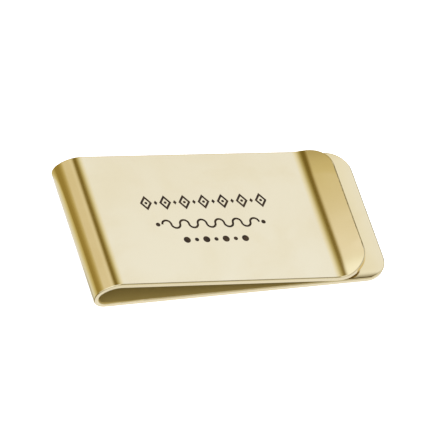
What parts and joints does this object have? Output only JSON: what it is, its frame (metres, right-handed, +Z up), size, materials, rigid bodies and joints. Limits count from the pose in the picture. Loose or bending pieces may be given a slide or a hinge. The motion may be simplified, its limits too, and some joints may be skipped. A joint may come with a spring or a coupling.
{
  "type": "money clip",
  "caption": "Folded spring strip that pinches banknotes between a flat back leaf and an engraved front leaf with a turned-up lip.",
  "frame": {"origin": "centre of the footprint, on the surface that the back leaf lies on", "axes": "+X from the bow to the open end, +Y across the strip, +Z up through the leaves"},
  "size_m": [0.0508, 0.0254, 0.0057],
  "materials": {
    "gold_strip": "polished pale gold-tone plating with fine handling scratches",
    "dark_fill": "dark brown engraving fill, satin"
  },
  "bodies": {
    "back": {"back_leaf": "gold_strip", "bow_lower": "gold_strip"},
    "front": {"bow_upper": "gold_strip", "shoulder_bend": "gold_strip", "front_plate": "gold_strip", "pinch_bend": "gold_strip", "entry_lip": "gold_strip", "engraving_fill": "dark_fill"}
  },
  "joints": [
    {"name": "spring_bow", "type": "hinge", "parent": "back", "child": "front", "pos_m": [-0.0254, 0, 0.00251], "axis": [0, -1, 0], "range_deg": [0, 8], "stiffness_Nm_per_rad": 4, "springref_deg": -1.72}
  ]
}
